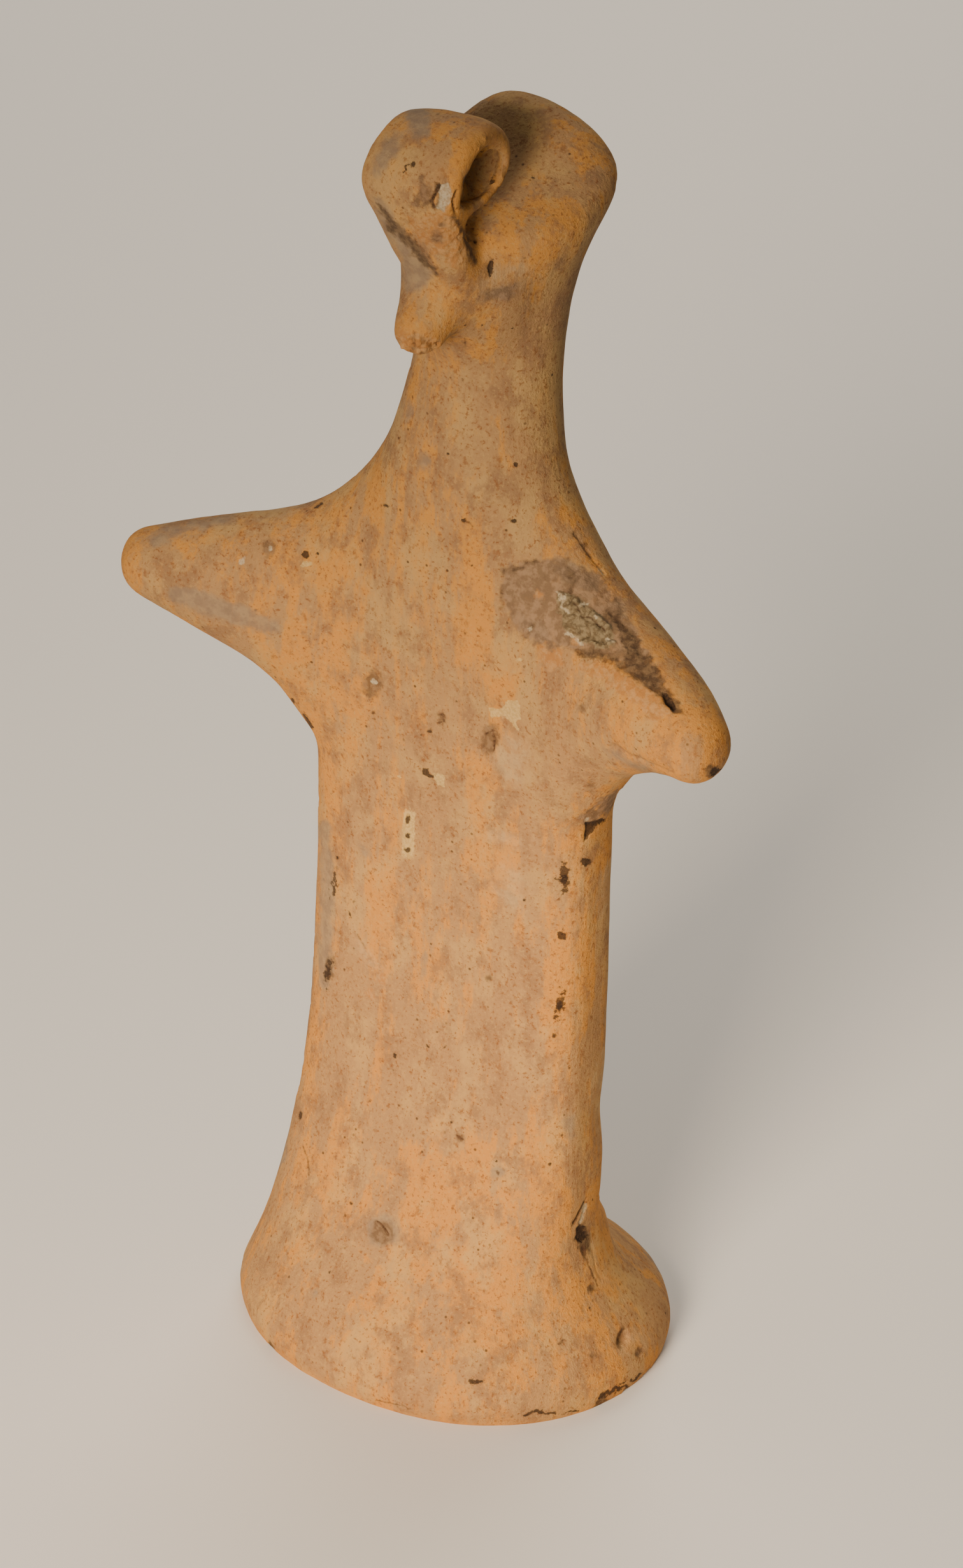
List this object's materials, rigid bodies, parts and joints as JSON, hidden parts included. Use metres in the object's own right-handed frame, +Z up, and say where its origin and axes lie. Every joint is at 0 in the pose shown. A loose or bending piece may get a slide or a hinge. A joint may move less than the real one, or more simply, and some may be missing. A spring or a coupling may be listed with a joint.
{
  "type": "terracotta figurine",
  "caption": "Hand-modelled clay figurine with stub arms, a board-like body on a flared base, a beaked face and a rolled brow before a fan-shaped crest.",
  "frame": {"origin": "centre of the flat underside, the face the figurine stands on", "axes": "+Z up through the neck to the head, -Y is the way the beaked face looks, +X points to the figure's own left arm"},
  "size_m": [0.0898, 0.0498, 0.1812],
  "materials": {
    "figurine": "matt unglazed fired clay, orange-buff with greyish clouds, traces of dark paint and pale slip"
  },
  "bodies": {
    "root": {"figurine": "figurine"}
  },
  "joints": []
}
